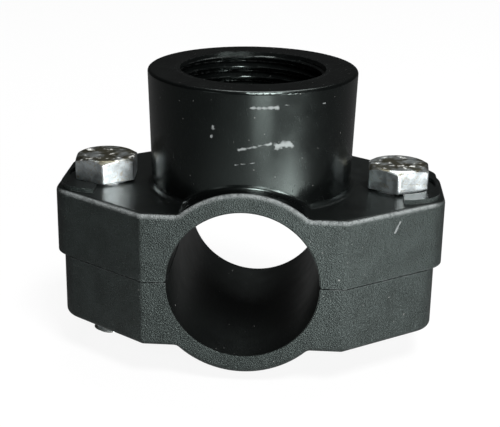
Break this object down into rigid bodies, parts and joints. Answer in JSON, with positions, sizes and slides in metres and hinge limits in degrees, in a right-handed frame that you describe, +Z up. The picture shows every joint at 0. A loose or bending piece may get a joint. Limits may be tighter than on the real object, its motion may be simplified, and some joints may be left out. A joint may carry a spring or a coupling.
{
  "type": "tapping saddle",
  "caption": "Two-part clamp saddle for a plastic water pipe, with a round female threaded branch on top and two hex bolts.",
  "frame": {"origin": "where the pipe's centre line crosses the branch's centre line, on the pipe bore's mount", "axes": "+Z up along the branch, +Y along the pipe, X across the two bolts"},
  "size_m": [0.0852, 0.0496, 0.0633],
  "materials": {
    "upper_plastic": "black, glossy on top, fine sandy grain on the sides",
    "lower_plastic": "black, fine sandy grain",
    "seal_rubber": "smooth black rubber",
    "bolt_zinc": "bright zinc plate",
    "nut_zinc": "bright zinc plate"
  },
  "bodies": {
    "saddle": {"upper_saddle": "upper_plastic", "outlet_seal": "seal_rubber"},
    "strap": {"lower_saddle": "lower_plastic", "nut_left": "nut_zinc", "nut_right": "nut_zinc"},
    "left_bolt": {"bolt_left": "bolt_zinc"},
    "right_bolt": {"bolt_right": "bolt_zinc"}
  },
  "joints": [
    {"name": "left_bolt_turn", "type": "hinge", "parent": "saddle", "child": "left_bolt", "pos_m": [-0.0325, 0, 0.015], "axis": [0, 0, 1], "range_deg": [0, 2304]},
    {"name": "right_bolt_turn", "type": "hinge", "parent": "saddle", "child": "right_bolt", "pos_m": [0.0325, 0, 0.015], "axis": [0, 0, 1], "range_deg": [0, 2305]},
    {"name": "strap_slide", "type": "slide", "parent": "saddle", "child": "strap", "axis": [0, 0, -1], "range_m": [0, 0.00801]}
  ],
  "couplings": [
    {"joint": "strap_slide", "follows": "left_bolt_turn", "m_per_rad": 0.00019894},
    {"joint": "right_bolt_turn", "follows": "left_bolt_turn", "ratio": 1}
  ]
}
